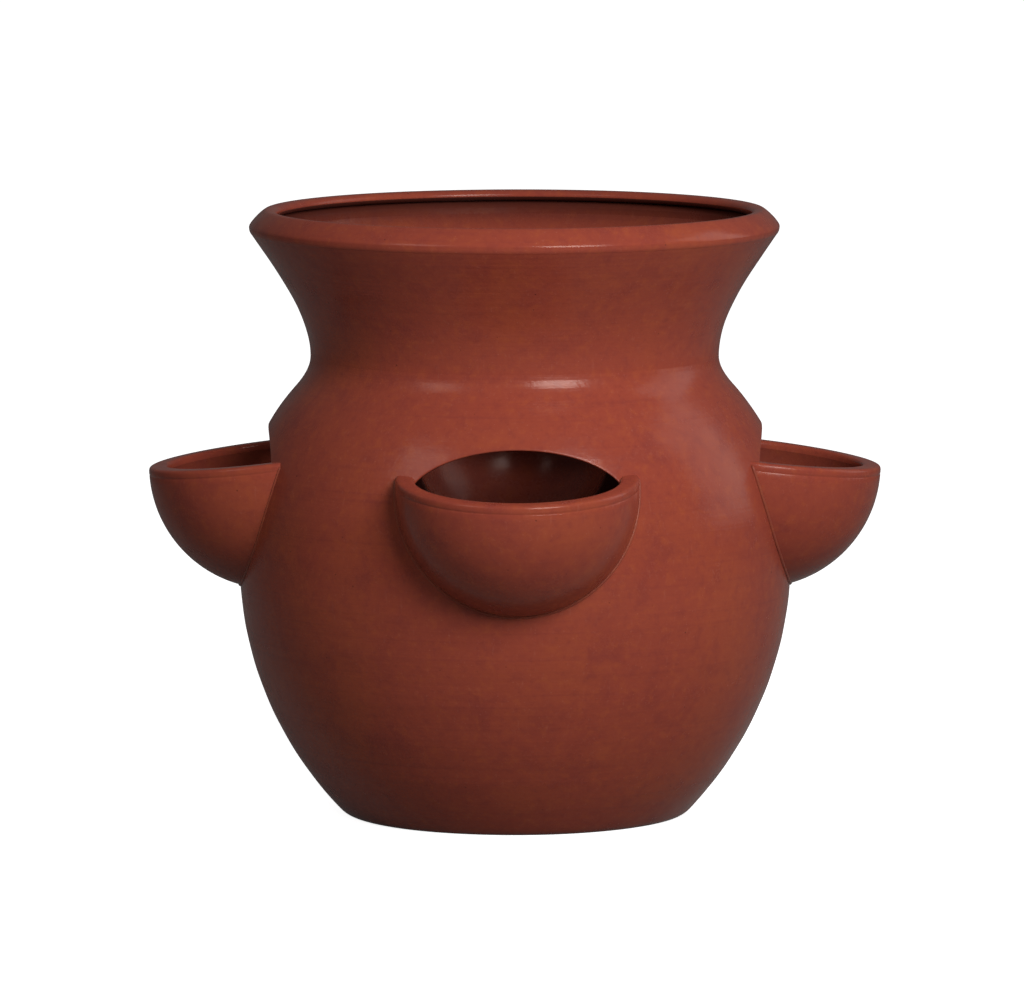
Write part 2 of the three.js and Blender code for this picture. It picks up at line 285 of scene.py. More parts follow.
def jar_face(jar, z):
    """Outer radius and lean (change of radius per metre of height) of the jar at heights z.

    Up to the widest ring the profile is one circle: widest - arc + sqrt(arc^2 - below^2), upright at
    that ring. Above it a cubic Hermite curve in z runs through the shoulder, waist and neck rings.
    """
    z = np.asarray(z, float)
    inset = jar.belly_radius - jar.foot_radius
    arc = (inset**2 + jar.belly_rise**2) / (2 * inset)
    below = np.clip(jar.belly_rise - z, 0, None)
    reach = np.sqrt(arc**2 - below**2)
    heights = np.array([jar.belly_rise, WAIST_Z - jar.waist_rise, WAIST_Z, NECK_Z])
    radii = np.array([jar.belly_radius, jar.shoulder_radius, jar.waist_radius, jar.neck_radius])
    leans = np.array([0, jar.shoulder_lean, 0, jar.neck_lean])
    ring = np.clip(np.searchsorted(heights, z) - 1, 0, len(heights) - 2)
    span = heights[ring + 1] - heights[ring]
    t = np.clip((z - heights[ring]) / span, 0, 1)
    radius = (
        (2 * t**3 - 3 * t**2 + 1) * radii[ring]
        + (t**3 - 2 * t**2 + t) * span * leans[ring]
        + (3 * t**2 - 2 * t**3) * radii[ring + 1]
        + (t**3 - t**2) * span * leans[ring + 1]
    )
    lean = (
        (6 * t**2 - 6 * t) * (radii[ring] - radii[ring + 1]) / span
        + (3 * t**2 - 4 * t + 1) * leans[ring]
        + (3 * t**2 - 2 * t) * leans[ring + 1]
    )
    on_belly = z <= jar.belly_rise
    return (
        np.where(on_belly, jar.belly_radius - arc + reach, radius),
        np.where(on_belly, below / reach, lean),
    )


def wall_radius(jar, z, depth=0.0):
    """Radius at heights z of the surface that lies depth behind the outer face."""
    radius, lean = jar_face(jar, z)
    return radius - depth * np.hypot(1, lean)


def thrown(jar, turn, z):
    """How far the thrown wall stands out at angle turn and height z.

    Slow waves that drift with height, and the spiral that the fingers leave: unevenness times the sum
    of share * sin(count * turn + drift * z + start) and finger share * sin(turn + tau * z / pitch).
    """
    waves = sum(part * np.sin(count * turn + drift * z + start) for part, count, drift, start in WAVES)
    spiral = np.sin(turn + math.tau * z / jar.finger_pitch)
    return jar.unevenness * (waves + FINGER_SHARE * spiral)


def jar_points(jar, turn, z, radius):
    """Points at angle turn (0 in front, growing towards +X), height z and radius on the uneven jar."""
    radius = radius + thrown(jar, turn, z)
    turn, z, radius = np.broadcast_arrays(turn, z, radius)
    return np.stack([radius * np.sin(turn), -radius * np.cos(turn), z], axis=-1)


def wall_rows(jar, low, high, depth=0.0):
    """Profile (radius, height) of the surface at that depth from low to high, in even steps."""
    rows = max(2, round((high - low) / ROW_PITCH) + 1)
    z = np.linspace(low, high, rows)
    return np.stack([wall_radius(jar, z, depth), z], axis=-1)


def bezier(*controls):
    """Points of the Bezier curve with those controls: each step mixes neighbouring controls by t."""
    t = np.linspace(0, 1, CURVE_STEPS)[:, None, None]
    points = np.broadcast_to(np.array(controls, float), (CURVE_STEPS, len(controls), 2))
    while points.shape[1] > 1:
        points = points[:, :-1] * (1 - t) + points[:, 1:] * t
    return points[:, 0]


# ---- Meshes ----


def grid_quads(rows, columns, wrap_rows=False, wrap_columns=False):
    """Quads of a grid of points numbered row by row, closed along either way if asked."""
    row = np.arange(rows if wrap_rows else rows - 1)
    column = np.arange(columns if wrap_columns else columns - 1)
    row, column = np.meshgrid(row, column, indexing="ij")
    below, beside = (row + 1) % rows, (column + 1) % columns
    corners = [row * columns + column, row * columns + beside]
    corners += [below * columns + beside, below * columns + column]
    return np.stack(corners, axis=-1).reshape(-1, 4)


def make_piece(name, points, quads, inside, finish):
    """Closed piece in place of the packed one of that name.

    Doubles are merged, faces turned outwards and creases kept sharp. inside is how raw each point looks
    and how much painted shade darkens it.
    """
    material, slot = finish
    mesh = bpy.data.meshes.new(name)
    mesh.from_pydata(points.reshape(-1, 3).tolist(), [], quads.tolist())
    layer = mesh.attributes.new("inside", "FLOAT", "POINT")
    layer.data.foreach_set("value", np.ascontiguousarray(inside, np.float32).ravel())
    work = bmesh.new()
    work.from_mesh(mesh)
    bmesh.ops.remove_doubles(work, verts=work.verts, dist=WELD)
    bmesh.ops.dissolve_degenerate(work, dist=WELD, edges=work.edges)
    bmesh.ops.recalc_face_normals(work, faces=work.faces)
    is_open = any(not edge.is_manifold for edge in work.edges)
    work.to_mesh(mesh)
    work.free()
    if is_open:
        raise RuntimeError(f"{name} isn't closed")
    mesh.shade_smooth()
    mesh.set_sharp_from_angle(angle=CREASE_ANGLE)
    mesh.materials.append(material)
    piece = bpy.data.objects.new(name, mesh)
    bpy.context.scene.collection.objects.link(piece)
    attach(piece, BODY)
    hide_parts(name)


def turned_piece(jar, name, profile, inside, finish):
    """Ring whose closed profile (radius, height) is carried round the jar's axis.

    It starts between two pockets, as the shoulder's quarters do.
    """
    turn = np.linspace(0, math.tau, TURN_STEPS, endpoint=False) - math.tau / 8
    points = jar_points(jar, turn[None, :], profile[:, 1:], profile[:, :1])
    quads = grid_quads(len(profile), TURN_STEPS, wrap_rows=True, wrap_columns=True)
    inside = np.repeat(np.asarray(inside, float)[:, None], TURN_STEPS, axis=1)
    make_piece(name, points, quads, inside, finish)


def wall_ring(jar, name, low, high, finish, rawness_and_shade=np.ones_like):
    """Plain stretch of the jar's wall, with how raw its inner face looks and how much painted shade
    darkens it at each height.
    """
    outer = wall_rows(jar, low, high)
    inner = wall_rows(jar, low, high, jar.wall)[::-1]
    inside = np.concatenate([np.zeros(len(outer)), rawness_and_shade(inner[:, 1])])
    turned_piece(jar, name, np.concatenate([outer, inner]), inside, finish)


def floor_profile(jar):
    """Slab from the drain hole's foot outwards, up the belly's curve and back along its top.

    All but the belly's curve looks raw and is darkened by painted shade.
    """
    bore, ease = jar.drain_radius, jar.drain_round
    foot = jar.foot_round
    under = bezier((bore, ease), (bore, 0), (bore + ease, 0))
    corner = bezier((jar.foot_radius - foot, 0), (jar.foot_radius, 0), (wall_radius(jar, foot), foot))
    side = wall_rows(jar, foot, SLAB_TOP)
    top = bezier((bore + ease, SLAB_TOP), (bore, SLAB_TOP), (bore, SLAB_TOP - ease))
    flat = np.linspace(under[-1], corner[0], CURVE_STEPS)[1:-1]
    back = np.linspace(side[-1], top[0], CURVE_STEPS)[1:-1]
    parts = [(1, under), (1, flat), (0, corner), (0, side[1:]), (1, back), (1, top)]
    inside = np.concatenate([np.full(len(part), raw) for raw, part in parts])
    return np.concatenate([part for _, part in parts]), inside


def under_rim(jar, z):
    """How raw and how darkened by painted shade the bore is at heights z: wholly in the groove, fading to
    nothing below it.
    """
    groove_z = CREST_Z - jar.rim_drop - jar.groove_drop
    return np.clip(1 - (groove_z - z) / jar.painted_shade_drop, 0, 1)


def rim_profile(jar):
    """Rolled rim: bulge past the collar, slope up to the crest, inner edge and the groove under it."""
    widest = jar.neck_radius + jar.rim_overhang
    widest_z = NECK_Z + jar.rim_round
    crest = widest - jar.rim_slope
    edge = crest - jar.rim_lip
    edge_z = CREST_Z - jar.rim_drop
    groove = (edge + jar.groove_depth, edge_z - jar.groove_drop)
    full = jar.rim_fullness
    crown = (crest + full * jar.rim_slope, CREST_Z)
    swell = (widest, widest_z + full * (CREST_Z - widest_z))
    bore = wall_radius(jar, NECK_Z, jar.wall)
    heel = (bore, NECK_Z + jar.groove_heel * (groove[1] - NECK_Z))
    roll = [
        bezier((jar.neck_radius, NECK_Z), (widest, NECK_Z + jar.rim_overhang), (widest, widest_z)),
        bezier((widest, widest_z), swell, crown, (crest, CREST_Z))[1:],
        bezier((crest, CREST_Z), (edge, CREST_Z), (edge, edge_z))[1:],
    ]
    under = [
        bezier((edge, edge_z), (edge, groove[1]), groove)[1:],
        bezier(groove, heel)[1:],
        bezier(heel, (bore, NECK_Z))[1:],
    ]
    roll, under = np.concatenate(roll), np.concatenate(under)
    # the groove and the bore under the roll get painted shade, fading downwards
    inside = np.concatenate([np.zeros(len(roll)), under_rim(jar, under[:, 1])])
    return np.concatenate([roll, under]), inside


# ---- Pockets and mouths, worked out at the front ----


def pocket_places(jar, pocket):
    """Heights and lengths that follow from the pocket's sizes."""
    corner_z = WAIST_Z - pocket.mouth_below_waist - pocket.mouth_rise
    lip_z = corner_z + pocket.lip_round
    squeeze = pocket.half_width / pocket.radius
    room = pocket.radius - pocket.wall
    room_rise = pocket.lip_rise - pocket.lip_round
    return SimpleNamespace(
        corner_z=corner_z,
        centre_z=lip_z - pocket.lip_rise,
        centre_back=float(wall_radius(jar, lip_z)) - pocket.set_in,
        squeeze=squeeze,
        room=room,
        room_rise=room_rise,
        mouth_half=math.sqrt(room**2 - room_rise**2) * squeeze,
    )


def seat(pocket, place, points):
    """From the bowl's own axis to the front of the jar: squeezed, tipped forwards and set in place."""
    x, y, z = points[..., 0], points[..., 1], points[..., 2]
    cos, sin = math.cos(pocket.tilt), math.sin(pocket.tilt)
    return np.stack(
        [x * place.squeeze, y * cos - z * sin - place.centre_back, y * sin + z * cos + place.centre_z],
        axis=-1,
    )


def unseat(pocket, place, points):
    """From the front of the jar back to the bowl's own axis."""
    x, y, z = points[..., 0], points[..., 1] + place.centre_back, points[..., 2] - place.centre_z
    cos, sin = math.cos(pocket.tilt), math.sin(pocket.tilt)
    return np.stack([x / place.squeeze, y * cos + z * sin, z * cos - y * sin], axis=-1)


def last_inside(inside, low, high):
    """Where inside(value) turns from true to false between low and high, found by halving."""
    for _ in range(HALVINGS):
        middle = (low + high) / 2
        within = inside(middle)
        low = np.where(within, middle, low)
        high = np.where(within, high, middle)
    return (low + high) / 2


def turn_to_place(points, number):
    """Turns front points by that many quarter turns."""
    cos, sin = math.cos(number * math.tau / 4), math.sin(number * math.tau / 4)
    x, y, z = points[..., 0], points[..., 1], points[..., 2]
    return np.stack([x * cos - y * sin, x * sin + y * cos, z], axis=-1)


def outside_by(jar, points, depth=0.0):
    """How far points lie outside the surface at that depth."""
    return np.hypot(points[..., 0], points[..., 1]) - wall_radius(jar, points[..., 2], depth)


def bowl_profile(jar, pocket, place):
    """Bowl's section (radius, height) about its own axis, from the outer root over the lip to the inner.

    Both arcs start where their front point comes out of the jar's wall, with steps that widen
    upwards. A tooled line runs under the outer edge of the lip, which is flat with rounded edges. The
    line's middle control lies at twice its depth, as a curve goes half way to its control.
    """
    low, high, ease = place.room_rise, pocket.lip_rise, pocket.lip_round
    full = pocket.lip_fullness

    def arc(radius, line_depth):
        def inside(rise):
            front = np.stack([np.zeros_like(rise), -radius * np.cos(rise), radius * np.sin(rise)], axis=-1)
            return outside_by(jar, seat(pocket, place, front), pocket.root) < 0

        top = math.asin((low - pocket.line_width) / radius)
        root = float(last_inside(inside, np.array(-math.tau / 4), np.array(0.0)))
        rise = root + (top - root) * np.linspace(0, 1, BOWL_STEPS) ** 2
        points = np.stack([radius * np.cos(rise), radius * np.sin(rise)], axis=-1)
        edge = np.array([math.sqrt(radius**2 - low**2), low])
        middle = (points[-1] + edge) / 2 - [2 * line_depth, 0]
        return np.concatenate([points[:-1], bezier(points[-1], middle, edge)])

    def corner(edge, step):
        near = (edge, low + full * (high - low))
        return bezier((edge, low), near, (edge + (1 - full) * step, high), (edge + step, high))

    outer, inner = arc(pocket.radius, pocket.line_depth), arc(place.room, 0)[::-1]
    outer_lip = corner(outer[-1, 0], -ease)
    inner_lip = corner(inner[0, 0], ease)[::-1]
    outside = np.concatenate([outer[:-1], outer_lip, inner_lip])
    hollow = inner[1:]
    # the hollow takes this value for its roughness and for its painted shade
    inside = np.repeat([0.0, pocket.rawness_and_shade], [len(outside), len(hollow)])
    return np.concatenate([outside, hollow]), inside


def pocket_piece(jar, pocket, number, finish):
    """Half-round bowl: its section swept from seam to seam, and closed inside the jar's wall."""
    place = pocket_places(jar, pocket)
    section, inside = bowl_profile(jar, pocket, place)
    radius, rise = section[:, :1], section[:, 1:]

    def bowl(sweep):
        level = np.broadcast_to(rise, np.broadcast_shapes(rise.shape, sweep.shape))
        own = np.stack([radius * np.sin(sweep), -radius * np.cos(sweep), level], axis=-1)
        return seat(pocket, place, own)

    reach = last_inside(
        lambda sweep: outside_by(jar, bowl(sweep), pocket.root) > 0,
        np.zeros_like(radius),
        np.full_like(radius, math.pi),
    )
    reach[[0, -1]] = 0
    points = bowl(reach * np.linspace(-1, 1, BOWL_COLUMNS)[None, :])
    rows = len(section)
    step = np.arange(rows // 2 - 1)
    caps = []
    for column in (0, BOWL_COLUMNS - 1):
        pair = [step, step + 1, rows - 2 - step, rows - 1 - step]
        caps.append(np.stack(pair, axis=-1) * BOWL_COLUMNS + column)
    quads = np.concatenate([grid_quads(rows, BOWL_COLUMNS), *caps])
    inside = np.repeat(inside[:, None], BOWL_COLUMNS, axis=1)
    make_piece(f"pocket_{PLACES[number]}", turn_to_place(points, number), quads, inside, finish)


def mouth_share(jar, pocket, place, edge, depth):
    """Share of the way from the mouth's middle to the edge of its quarter at which the mouth ends.

    The mouth is the bowl's hollow carried through the wall, joined to an arch above it. Its outline is
    evened a little along the loop.
    """

    def inside(way):
        turn, z = way * edge.turn, edge.middle_z + way * edge.rise
        radius = wall_radius(jar, z, depth)
        x, y = radius * np.sin(turn), -radius * np.cos(turn)
        own = unseat(pocket, place, np.stack([x, y, z], axis=-1))
        in_room = np.linalg.norm(own, axis=-1) < place.room + pocket.clearance
        in_room &= own[..., 2] < place.room_rise
        half_height = pocket.mouth_rise + pocket.arch_depth
        half_span = place.mouth_half / math.sqrt(1 - (pocket.arch_depth / half_height) ** 2)
        arch_z = place.corner_z - pocket.arch_depth
        arch = arch_z + half_height * np.sqrt(np.clip(1 - (x / half_span) ** 2, 0, None))
        in_arch = (np.abs(x) < place.mouth_half) & (z > place.centre_z) & (z < arch)
        return in_room | in_arch

    way = last_inside(inside, np.zeros_like(edge.turn), np.ones_like(edge.turn)) * edge.far
    evened = 0.5 * way + 0.25 * (np.roll(way, 1) + np.roll(way, -1))
    return evened / edge.far


def quarter_edge(jar, pocket):
    """Closed loop round the quarter of wall that holds one mouth, from its lower left corner.

    Turn and rise are measured from the mouth's middle, and far is the distance along the wall.
    """
    across = TURN_STEPS // 4
    up = round((WAIST_Z - BELLY_TOP) / (2 * ROW_PITCH))
    side = math.tau / 8
    turn = np.linspace(-side, side, across, endpoint=False)
    z = np.linspace(BELLY_TOP, WAIST_Z, up, endpoint=False)
    top_z = np.linspace(WAIST_Z, BELLY_TOP, up, endpoint=False)
    turns = np.concatenate([turn, np.full(up, side), -turn, np.full(up, -side)])
    heights = np.concatenate([np.full(across, BELLY_TOP), z, np.full(across, WAIST_Z), top_z])
    middle_z = WAIST_Z - pocket.mouth_below_waist - LOOP_MIDDLE * pocket.mouth_rise
    rise = heights - middle_z
    far = np.hypot(turns * jar.belly_radius, rise)
    return SimpleNamespace(turn=turns, rise=rise, far=far, middle_z=middle_z, across=across, up=up)


def shoulder_quarter(jar, pocket, number):
    """Quarter of the shoulder wall round one mouth, as a grid of loops.

    From the outer edge of the quarter the loops close in on the mouth, turn over its rounded edge,
    run through the wall, turn over the back edge and spread out again over the inner face. The outer
    edge is rounded along the arch only and fades to sharp where the bowl stands in front of it.
    """
    place = pocket_places(jar, pocket)
    edge = quarter_edge(jar, pocket)
    front_share = mouth_share(jar, pocket, place, edge, np.zeros_like(edge.turn))
    mouth_z = edge.middle_z + front_share * edge.rise
    fade = np.clip((mouth_z - place.corner_z + FADE_DROP) / FADE_HEIGHT, 0, 1)
    fade = fade * fade * (3 - 2 * fade)
    ease = pocket.clearance + (pocket.mouth_edge - pocket.clearance) * fade
    back = np.full_like(ease, pocket.mouth_back_edge)
    corner = np.linspace(0, math.tau / 4, CURVE_STEPS)
    steps = np.linspace(0, 1, THROUGH_ROWS + 2)[1:-1]
    front_round = [(ease * (1 - math.cos(a)), ease * (1 - math.sin(a))) for a in corner]
    through = [(ease + (jar.wall - back - ease) * step, 0) for step in steps]
    back_round = [(jar.wall - back * (1 - math.sin(a)), back * (1 - math.cos(a))) for a in corner]
    mouth = [
        (mouth_share(jar, pocket, place, edge, depth) + widening / edge.far, depth)
        for depth, widening in front_round + through + back_round
    ]
    spread = np.linspace(0, 1, MOUTH_ROWS) ** CROWDING
    first, last = mouth[0][0], mouth[-1][0]
    outer = [(first + (1 - first) * step, np.zeros_like(ease)) for step in spread[:0:-1]]
    inner = [(last + (1 - last) * step, np.full_like(ease, jar.wall)) for step in spread[1:]]
    way, depth = (np.stack(part) for part in zip(*outer, *mouth, *inner))
    turn, z = way * edge.turn, edge.middle_z + way * edge.rise
    radius = wall_radius(jar, z, depth)
    points = jar_points(jar, turn + number * math.tau / 4, z, radius)
    # depth through the wall sets the roughness and the painted shade of the mouth and the inner face
    return points, depth / jar.wall, edge


def shoulder_piece(jar, pocket, finish):
    """Shoulder wall: four quarters side by side, closed below and above by flat rings."""
    points, inside, quads = [], [], []
    start = 0
    for number in range(len(PLACES)):
        grid, depth, edge = shoulder_quarter(jar, pocket, number)
        rows, count = grid.shape[:2]
        points.append(grid.reshape(-1, 3))
        inside.append(depth.ravel())
        quads.append(grid_quads(rows, count, wrap_columns=True) + start)
        sides = [np.arange(edge.across), np.arange(edge.across) + edge.across + edge.up]
        for column in sides:
            beside = column + 1
            far = (rows - 1) * count
            quads.append(np.stack([column, beside, beside + far, column + far], axis=-1) + start)
        start += rows * count
    points, inside, quads = (np.concatenate(part) for part in (points, inside, quads))
    make_piece("shoulder_wall", points, quads, inside, finish)


def seam_line(jar, pocket, place):
    """Crease between bowl and jar from one lip corner round the bottom to the other.

    Along each direction from the bowl's centre, seen from the front, it is the point of the jar's
    face that lies on the bowl's outer sphere. The line is then cut into even lengths.
    """
    direction = np.linspace(SEAM_PAST_LEVEL, -math.pi - SEAM_PAST_LEVEL, SEAM_LOOKS * BEAD_STEPS)

    def on_face(reach):
        turn = reach * np.cos(direction) / jar.belly_radius
        z = place.centre_z + reach * np.sin(direction)
        return jar_points(jar, turn, z, wall_radius(jar, z))

    def inside(reach):
        return np.linalg.norm(unseat(pocket, place, on_face(reach)), axis=-1) < pocket.radius

    farthest = np.full_like(direction, SEAM_REACH * pocket.radius)
    line = on_face(last_inside(inside, np.zeros_like(direction), farthest))
    line = line[unseat(pocket, place, line)[:, 2] < pocket.lip_rise - pocket.bead]
    along = np.concatenate([[0], np.cumsum(np.linalg.norm(np.diff(line, axis=0), axis=1))])
    even = np.linspace(0, along[-1], BEAD_STEPS)
    return np.stack([np.interp(even, along, line[:, axis]) for axis in range(3)], axis=-1), even


def unit(vectors):
    """Vectors at length one."""
    return vectors / np.linalg.norm(vectors, axis=-1, keepdims=True)


def bead_piece(jar, pocket, number, finish):
    """Bead of slip: a circle carried along the crease, its ends drawn to a point."""
    place = pocket_places(jar, pocket)
    line, along = seam_line(jar, pocket, place)
    _, lean = jar_face(jar, line[:, 2])
    radial = unit(line * [1, 1, 0])
    from_jar = unit(radial - lean[:, None] * [0, 0, 1])
    from_bowl = unit(line - [0, -place.centre_back, place.centre_z])
    ahead = unit(np.gradient(line, axis=0))
    outward = from_jar + from_bowl
    outward = unit(outward - ahead * np.sum(outward * ahead, axis=1, keepdims=True))
    across = np.cross(ahead, outward)
    to_end = np.minimum(along, along[-1] - along) / (BEAD_POINT * pocket.bead)
    thick = pocket.bead * np.sqrt(1 - (1 - np.clip(to_end, 0, 1)) ** 2)
    angle = np.linspace(0, math.tau, BEAD_SIDES, endpoint=False)[None, :, None]
    ring = outward[:, None] * np.cos(angle) + across[:, None] * np.sin(angle)
    points = line[:, None] + ring * thick[:, None, None]
    quads = grid_quads(BEAD_STEPS, BEAD_SIDES, wrap_columns=True)
    inside = np.zeros(points.shape[:2])
    make_piece(f"luting_{PLACES[number]}", turn_to_place(points, number), quads, inside, finish)


# ---- Clay ----


class Graph:
    """Short calls for building one material's nodes."""

    def __init__(self, name):
        self.material = bpy.data.materials.new(name)
        self.material.use_nodes = True
        self.nodes = self.material.node_tree.nodes
        self.links = self.material.node_tree.links
        self.nodes.clear()
        self.place = self.node("ShaderNodeTexCoord").outputs["Object"]

    def node(self, kind, **settings):
        """New node with its settings."""
        made = self.nodes.new(kind)
        for key, value in settings.items():
            setattr(made, key, value)
        return made

    def feed(self, socket, value):
        """Links an output to a socket, or sets its value."""
        if isinstance(value, bpy.types.NodeSocket):
            self.links.new(value, socket)
        else:
            socket.default_value = value

    def noise(self, scale, detail=3.0, roughness=0.55, distortion=0.0, stretch=None):
        """Noise of that many features per metre, stretched along the axes if asked."""
        place = self.place
        if stretch is not None:
            mapping = self.node("ShaderNodeMapping", vector_type="POINT")
            self.feed(mapping.inputs["Vector"], place)
            self.feed(mapping.inputs["Scale"], stretch)
            place = mapping.outputs["Vector"]
        made = self.node("ShaderNodeTexNoise")
        self.feed(made.inputs["Vector"], place)
        self.feed(made.inputs["Scale"], scale)
        self.feed(made.inputs["Detail"], detail)
        self.feed(made.inputs["Roughness"], roughness)
        self.feed(made.inputs["Distortion"], distortion)
        return made.outputs["Fac"]

    def grit(self, scale, size):
        """One in the middle of each speck, falling to zero where it reaches that share of its cell."""
        made = self.node("ShaderNodeTexVoronoi")
        self.feed(made.inputs["Vector"], self.place)
        self.feed(made.inputs["Scale"], scale)
        return self.span(made.outputs["Distance"], size, size * 0.5, 0.0, 1.0)

    def span(self, value, low, high, out_low, out_high):
        """Value between low and high spread over the output range, smooth at both ends."""
        made = self.node("ShaderNodeMapRange", interpolation_type="SMOOTHSTEP")
        self.feed(made.inputs["Value"], value)
        self.feed(made.inputs["From Min"], low)
        self.feed(made.inputs["From Max"], high)
        self.feed(made.inputs["To Min"], out_low)
        self.feed(made.inputs["To Max"], out_high)
        return made.outputs["Result"]

    def math(self, operation, one, two):
        """Sum, product or the like of two values."""
        made = self.node("ShaderNodeMath", operation=operation)
        self.feed(made.inputs[0], one)
        self.feed(made.inputs[1], two)
        return made.outputs["Value"]

    def mix(self, one, two, share_of_two):
        """Colour between one and two."""
        made = self.node("ShaderNodeMix", data_type="RGBA", blend_type="MIX")
        self.feed(made.inputs["Factor"], share_of_two)
        self.feed(made.inputs["A"], one)
        self.feed(made.inputs["B"], two)
        return made.outputs["Result"]

    def bump(self, height, distance, strength, normal):
        """Normal disturbed by a height: that normal, or the mesh's own where it is None."""
        made = self.node("ShaderNodeBump")
        self.feed(made.inputs["Height"], height)
        self.feed(made.inputs["Distance"], distance)
        self.feed(made.inputs["Strength"], strength)
        if normal is not None:
            self.feed(made.inputs["Normal"], normal)
        return made.outputs["Normal"]

    def attribute(self, name):
        """Value stored on the mesh's points."""
        return self.node("ShaderNodeAttribute", attribute_name=name).outputs["Fac"]

    def finish(self, **sockets):
        """Principled shader with those sockets as the material's surface."""
        shader = self.node("ShaderNodeBsdfPrincipled")
        for name, value in sockets.items():
            self.feed(shader.inputs[name.replace("_", " ")], value)
        self.surface(shader.outputs["BSDF"])

    def surface(self, shader):
        """Makes that shader the material's surface."""
        output = self.node("ShaderNodeOutputMaterial")
        self.feed(output.inputs["Surface"], shader)


def rgba(value):
    """Colour setting with full alpha."""
    return (*value, 1.0)


def clay_material(name, clay, main, wheel, polish):
    """Fired clay: fire-mottled colour, grit, wheel lines, burnishing marks and a raw inside darkened by
    painted shade.

    wheel is the strength of the level lines that throwing leaves. Each tint covers the one before it by
    an amount, each wear adds to the roughness, and each relief is (height, metres, strength).
    """
    g = Graph(name)
    inside = g.attribute("inside")
    clouds = g.noise(CLOUDS, detail=2.0, distortion=0.4)
    patches = g.noise(PATCHES, detail=4.0, roughness=0.6, distortion=0.5)
    mottle = g.noise(MOTTLE, detail=3.0, roughness=0.6, distortion=0.3)
    grain = g.noise(GRAIN, detail=3.0, roughness=0.6)
    dust = g.noise(DUST, detail=2.0)
    lines = g.noise(1.0, detail=4.0, roughness=0.65, stretch=WHEEL_LINES)
    bands = g.noise(1.0, detail=2.0, stretch=FINGER_BANDS)
    rubs = g.noise(1.0, detail=2.0, stretch=RUBS)
    light_grit = g.grit(*LIGHT_GRIT)
    dark_grit = g.grit(*DARK_GRIT)

    tints = (
        (clay.warm, g.span(clouds, 0.44, 0.72, 0.0, 0.35)),
        (clay.plum, g.span(patches, 0.48, 0.74, 0.0, 0.5)),
        (clay.plum, g.span(lines, 0.5, 0.8, 0.0, 0.45 * wheel)),
        (clay.warm, g.span(mottle, 0.5, 0.72, 0.0, 0.42)),
        (clay.plum, g.span(mottle, 0.48, 0.3, 0.0, 0.35)),
        (clay.pale, g.span(grain, 0.56, 0.84, 0.0, 0.14)),
        (clay.soot_and_shade, g.span(grain, 0.42, 0.2, 0.0, 0.14)),
        (clay.pale, g.math("MULTIPLY", light_grit, 0.25)),
        (clay.soot_and_shade, g.math("MULTIPLY", dark_grit, 0.6)),
        (clay.pale, g.span(rubs, 0.62, 0.86, 0.0, 0.2)),
        # painted shade: the jar's inside, the bowls' hollows and the groove under the rim are darkened
        # towards soot
        (clay.soot_and_shade, g.math("MULTIPLY", inside, clay.inside_shade)),
    )
    wears = (
        g.span(patches, 0.3, 0.7, -0.04, 0.05),
        g.span(bands, 0.3, 0.7, -0.03, 0.03),
        g.span(grain, 0.3, 0.7, -0.03, 0.04),
    )
    reliefs = (
        (bands, 0.0004 * wheel, 0.5),
        (lines, 0.00016 * wheel, 0.5),
        (patches, 0.0005, 0.35),
        (grain, 0.00007, 0.6),
        (dark_grit, -0.00012, 0.6),
        (dust, 0.00003, 0.5),
    )
    tone = rgba(main)
    for tint, amount in tints:
        tone = g.mix(tone, rgba(tint), amount)
    rough = g.span(inside, 0.0, 1.0, polish, clay.raw)
    for wear in wears:
        rough = g.math("ADD", rough, wear)
    normal = None
    for height, distance, strength in reliefs:
        normal = g.bump(height, distance, strength, normal)
    g.finish(
        Base_Color=tone,
        Roughness=rough,
        Normal=normal,
        Specular_IOR_Level=clay.gloss,
        Specular_Tint=rgba(clay.sheen),
    )


# ---- Stage ----


def seen_directly(g, mirrored):
    """One for camera and transmission rays, that share for glossy rays, zero for diffuse light."""
    path = g.node("ShaderNodeLightPath").outputs
    glossy = g.math("MULTIPLY", path["Is Glossy Ray"], mirrored)
    seen = g.math("MAXIMUM", path["Is Camera Ray"], glossy)
    return g.math("MAXIMUM", seen, path["Is Transmission Ray"])


def floor_material(studio):
    """Pale floor that keeps the jar's shadow, and is a plain table to the clay's diffuse light.

    Its glow rises to full white away from the jar, where the lamps no longer reach.
    """
    g = Graph("pale_floor")
    seen = seen_directly(g, studio.mirrored)
    paper = g.node("ShaderNodeBsdfDiffuse")
    g.feed(paper.inputs["Color"], g.mix(rgba(studio.table), rgba(studio.backdrop), seen))
    reach = g.node("ShaderNodeVectorMath", operation="LENGTH")
    g.feed(reach.inputs[0], g.place)
    glow = g.node("ShaderNodeEmission")
    g.feed(glow.inputs["Color"], rgba(studio.backdrop))
    strength = g.span(reach.outputs["Value"], SHADOW_REACH, LAMP_REACH, studio.near_glow, 1.0)
    g.feed(glow.inputs["Strength"], g.math("MULTIPLY", seen, strength))
    both = g.node("ShaderNodeAddShader")
    g.feed(both.inputs[0], paper.outputs["BSDF"])
    g.feed(both.inputs[1], glow.outputs["Emission"])
    g.surface(both.outputs["Shader"])
    return g.material


def room_light(studio):
    """World: a dim even room."""
    world = bpy.data.worlds.new("room")
    world.use_nodes = True
    nodes, links = world.node_tree.nodes, world.node_tree.links
    nodes.clear()
    room = nodes.new("ShaderNodeBackground")
    room.inputs["Strength"].default_value = studio.sky
    room.inputs["Color"].default_value = (1.0, 1.0, 1.0, 1.0)
    output = nodes.new("ShaderNodeOutputWorld")
    links.new(room.outputs["Background"], output.inputs["Surface"])
    bpy.context.scene.world = world


